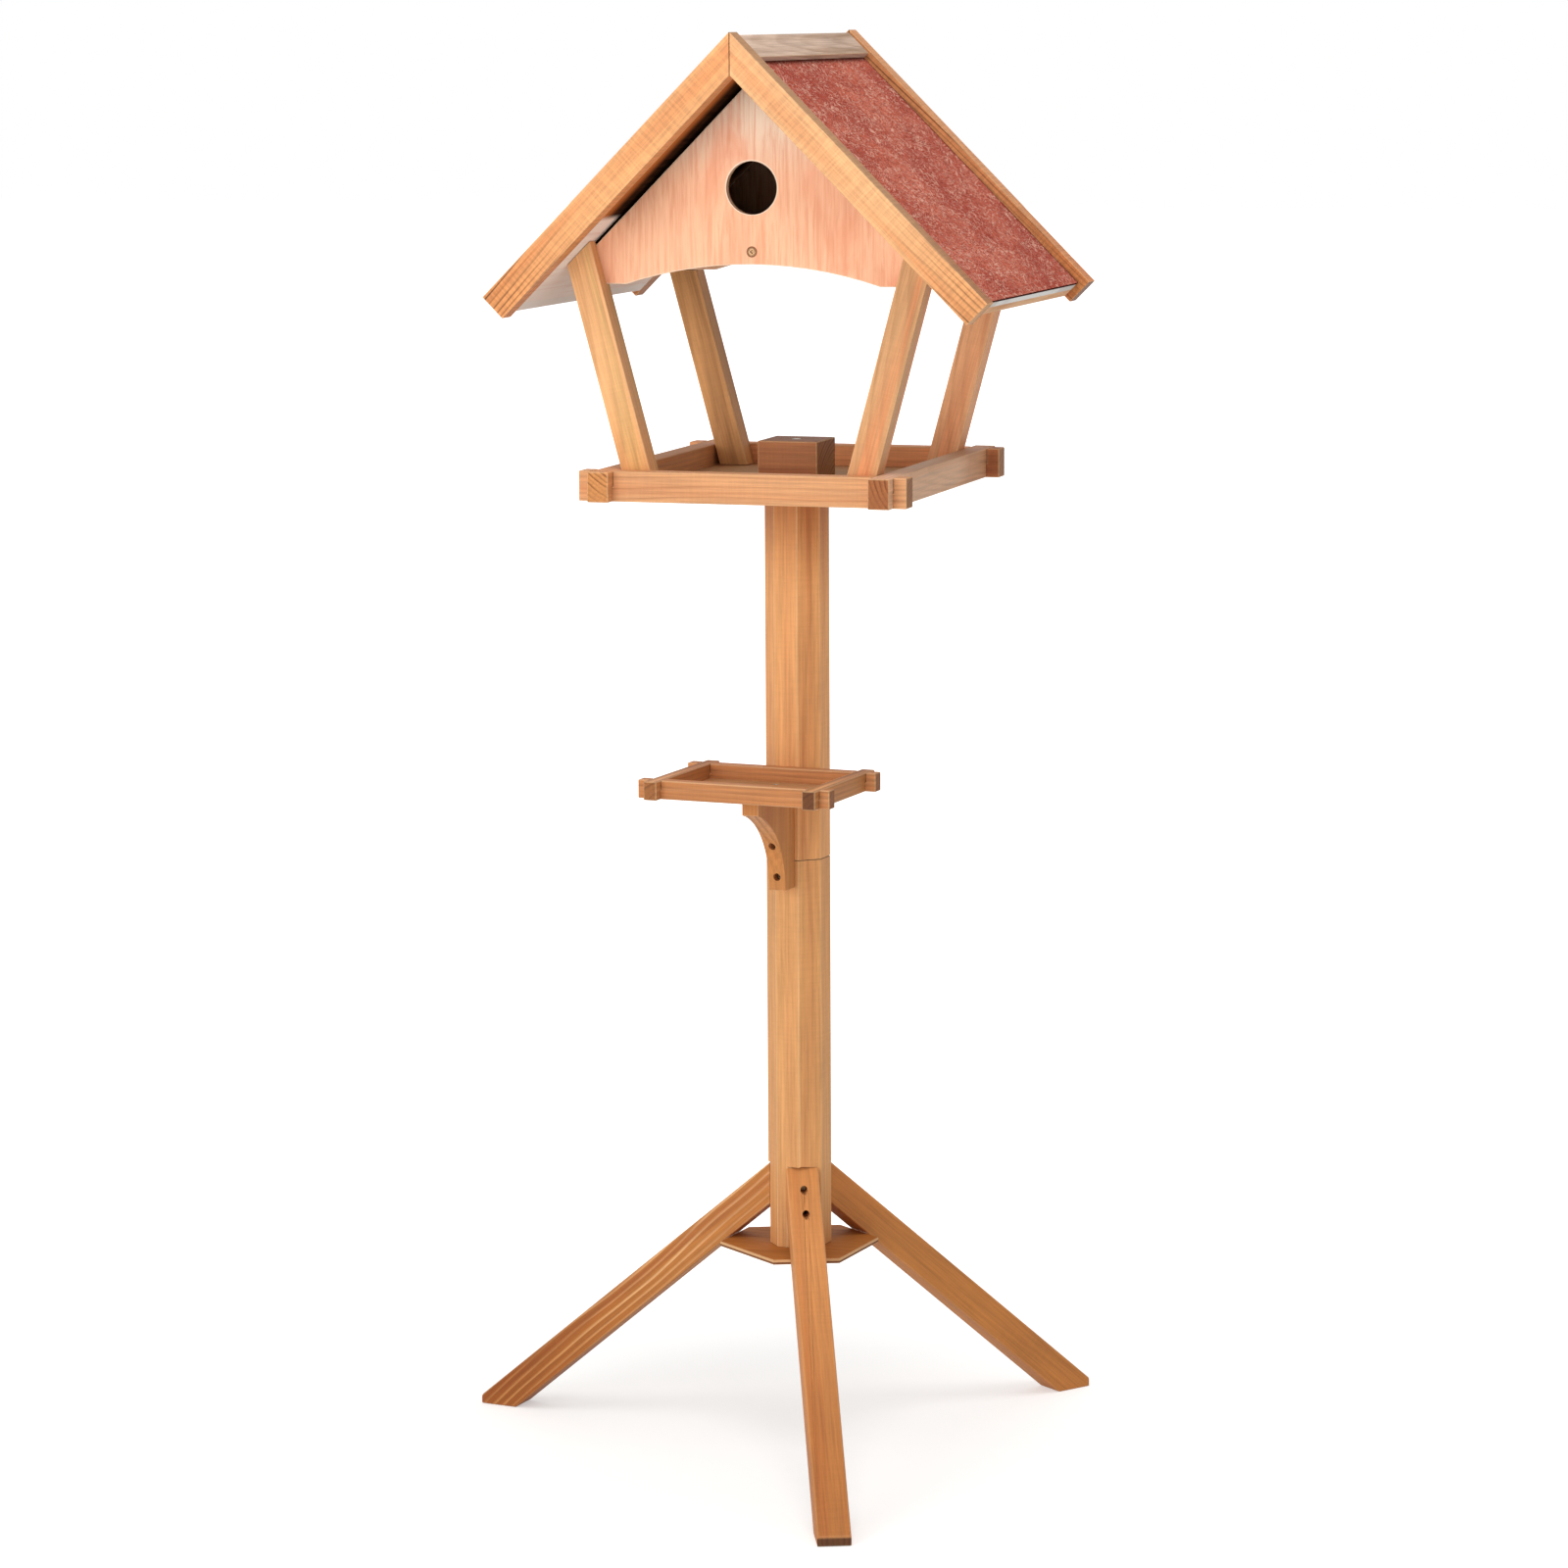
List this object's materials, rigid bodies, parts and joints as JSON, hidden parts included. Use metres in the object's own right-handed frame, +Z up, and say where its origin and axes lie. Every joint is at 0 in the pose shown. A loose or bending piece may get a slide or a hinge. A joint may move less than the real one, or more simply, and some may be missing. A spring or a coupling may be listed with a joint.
{
  "type": "bird table",
  "caption": "Free-standing wooden bird table: a gabled house on leaning uprights over an open tray, a small tray on a bracket, and a post on splayed legs.",
  "frame": {"origin": "on the ground, under the middle of the whole object's box; the post's axis stands 53 mm towards +X and 21 mm towards +Y from it", "axes": "+Z up; -Y is the front, where the entrance hole and the small tray are; +X is to the right as seen from the front"},
  "size_m": [0.598, 0.6218, 1.3895],
  "materials": {
    "honey_wood": "stained softwood, satin",
    "pale_wood": "lightly stained softwood, satin",
    "dark_wood": "dark stained wood, satin",
    "gable_ply": "stained plywood, matt",
    "floor_ply": "stained plywood, matt",
    "grey_wood": "weathered wood, matt",
    "red_felt": "roofing felt, matt",
    "screw_steel": "zinc plated"
  },
  "bodies": {
    "root": {"post_lower": "honey_wood", "post_upper": "honey_wood", "post_dowel": "pale_wood", "leg_front": "honey_wood", "leg_right": "honey_wood", "leg_left": "honey_wood", "leg_front_screw_upper": "screw_steel", "leg_front_screw_lower": "screw_steel", "leg_right_screw_upper": "screw_steel", "leg_right_screw_lower": "screw_steel", "leg_left_screw_upper": "screw_steel", "leg_left_screw_lower": "screw_steel", "base_plate": "dark_wood", "plate_screw": "screw_steel", "bracket": "honey_wood", "bracket_screw_upper": "screw_steel", "bracket_screw_lower": "screw_steel", "small_tray_rail_front": "pale_wood", "small_tray_rail_rear": "honey_wood", "small_tray_rail_left": "honey_wood", "small_tray_rail_right": "honey_wood", "small_tray_floor": "floor_ply", "small_tray_screw_rear": "screw_steel", "small_tray_screw_front": "screw_steel", "tray_rail_front": "honey_wood", "tray_rail_rear": "honey_wood", "tray_rail_left": "honey_wood", "tray_rail_right": "grey_wood", "tray_floor": "floor_ply", "tray_block": "dark_wood", "post_fixing_screw": "screw_steel", "upright_front_left": "honey_wood", "upright_front_right": "honey_wood", "upright_rear_left": "honey_wood", "upright_rear_right": "honey_wood", "upright_screw_front_left": "screw_steel", "upright_screw_front_right": "screw_steel", "upright_screw_rear_left": "screw_steel", "upright_screw_rear_right": "screw_steel", "gable_front": "gable_ply", "gable_rear": "gable_ply", "gable_screw_front": "screw_steel", "gable_screw_rear": "screw_steel", "nest_floor": "floor_ply", "roof_panel_left": "floor_ply", "roof_panel_right": "floor_ply", "roof_felt_left": "red_felt", "roof_felt_right": "red_felt", "ridge_cap_left": "grey_wood", "ridge_cap_right": "grey_wood", "bargeboard_front_left": "pale_wood", "bargeboard_front_right": "pale_wood", "bargeboard_rear_left": "pale_wood", "bargeboard_rear_right": "pale_wood"}
  },
  "joints": []
}
